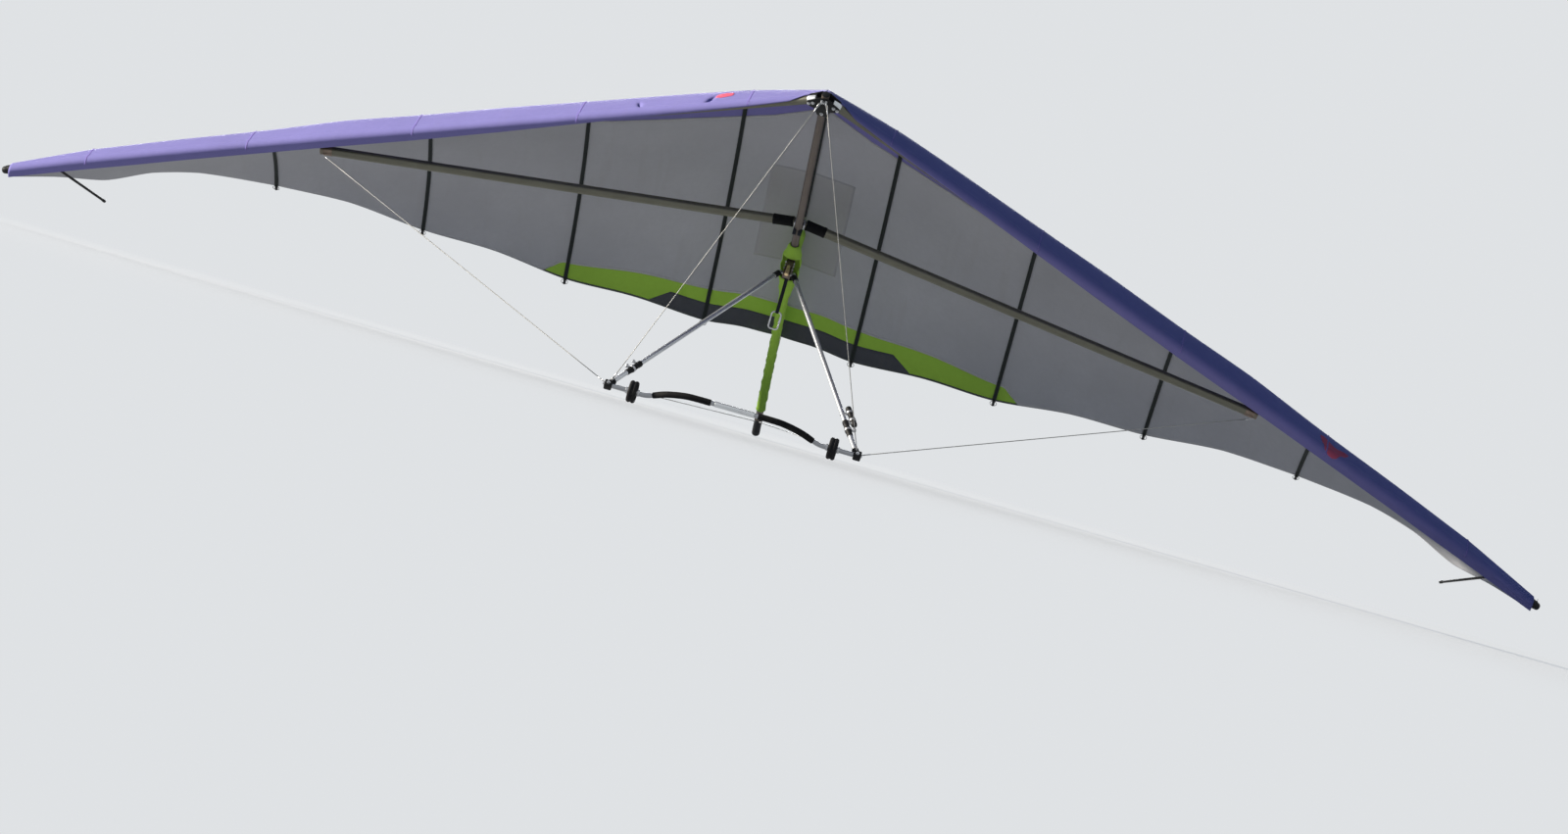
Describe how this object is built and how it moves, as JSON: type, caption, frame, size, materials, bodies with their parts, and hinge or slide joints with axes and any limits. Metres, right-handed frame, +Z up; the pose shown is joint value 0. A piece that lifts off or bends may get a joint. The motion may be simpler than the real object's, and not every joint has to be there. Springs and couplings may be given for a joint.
{
  "type": "hang glider",
  "caption": "Single-surface hang glider with a kingpost, wire-braced control frame and base-bar wheels, parked nose up on its wheels and keel end.",
  "frame": {"origin": "middle of the parked glider's bounding box, at floor level", "axes": "+X to the glider's left wing, -Y the way the nose points, +Z up; the keel is tipped nose up by 37.7 degrees so that both base-bar wheels and the keel's end stand on the floor"},
  "size_m": [9.9662, 2.7468, 2.0999],
  "materials": {
    "violet_cloth": "woven sailcloth, violet",
    "white_cloth": "woven sailcloth, white",
    "lime_cloth": "woven sailcloth, lime green",
    "olive_tube": "anodised, dull olive grey",
    "keel_metal": "anodised, dull brown grey",
    "silver_tube": "anodised, bright",
    "fitting_steel": "brushed",
    "fitting_black": "black, satin",
    "batten_black": "black rod in a cloth pocket, matte",
    "grip_foam": "foam, matte",
    "wheel_plastic": "matte",
    "strap_webbing": "woven webbing",
    "rigging_wire": "stranded"
  },
  "bodies": {
    "glider": {"apex_bracket": "fitting_black", "base_tube": "silver_tube", "base_tube_sleeve": "fitting_steel", "batten_left_1": "batten_black", "batten_left_2": "batten_black", "batten_left_3": "batten_black", "batten_left_4": "batten_black", "batten_right_1": "batten_black", "batten_right_2": "batten_black", "batten_right_3": "batten_black", "batten_right_4": "batten_black", "corner_bracket_left": "fitting_black", "corner_bracket_right": "fitting_black", "crossbar_bracket_left": "fitting_steel", "crossbar_bracket_right": "fitting_steel", "crossbar_joint": "fitting_steel", "crossbar_left": "olive_tube", "crossbar_right": "olive_tube", "crossbar_sleeve_left": "fitting_black", "crossbar_sleeve_right": "fitting_black", "front_wire_left": "rigging_wire", "front_wire_right": "rigging_wire", "grip_left": "grip_foam", "grip_right": "grip_foam", "hang_bracket": "fitting_steel", "keel_end_cap": "fitting_black", "keel_pocket": "lime_cloth", "keel_tube": "keel_metal", "kingpost": "silver_tube", "kingpost_base": "fitting_black", "kingpost_cap": "fitting_black", "leading_edge_pocket_left": "violet_cloth", "leading_edge_pocket_right": "violet_cloth", "leading_edge_tube_left": "olive_tube", "leading_edge_tube_right": "olive_tube", "nose_plate_lower": "fitting_black", "nose_plate_upper": "fitting_black", "rear_wire_left": "rigging_wire", "rear_wire_right": "rigging_wire", "sail_left": "white_cloth", "sail_right": "white_cloth", "side_wire_left": "rigging_wire", "side_wire_right": "rigging_wire", "tip_cap_left": "batten_black", "tip_cap_right": "batten_black", "tip_rod_left": "batten_black", "tip_rod_right": "batten_black", "top_front_wire": "rigging_wire", "top_rear_wire": "rigging_wire", "top_side_wire_left": "rigging_wire", "top_side_wire_right": "rigging_wire", "upright_left": "silver_tube", "upright_right": "silver_tube", "upright_sleeve_left": "fitting_black", "upright_sleeve_right": "fitting_black"},
    "wheel_left": {"wheel_left": "wheel_plastic"},
    "wheel_right": {"wheel_right": "wheel_plastic"},
    "hang_line": {"hang_strap": "strap_webbing", "carabiner": "fitting_steel"}
  },
  "joints": [
    {"name": "wheel_left_spin", "type": "hinge", "parent": "glider", "child": "wheel_left", "pos_m": [0.598, -1.2751, 0.065], "axis": [1, 0, 0], "continuous": true},
    {"name": "wheel_right_spin", "type": "hinge", "parent": "glider", "child": "wheel_right", "pos_m": [-0.598, -1.2751, 0.065], "axis": [1, 0, 0], "continuous": true},
    {"name": "hang_strap_swing", "type": "hinge", "parent": "glider", "child": "hang_line", "pos_m": [0, 0.01334, 1.00409], "axis": [1, 0, 0], "range_deg": [-60, 35]}
  ]
}
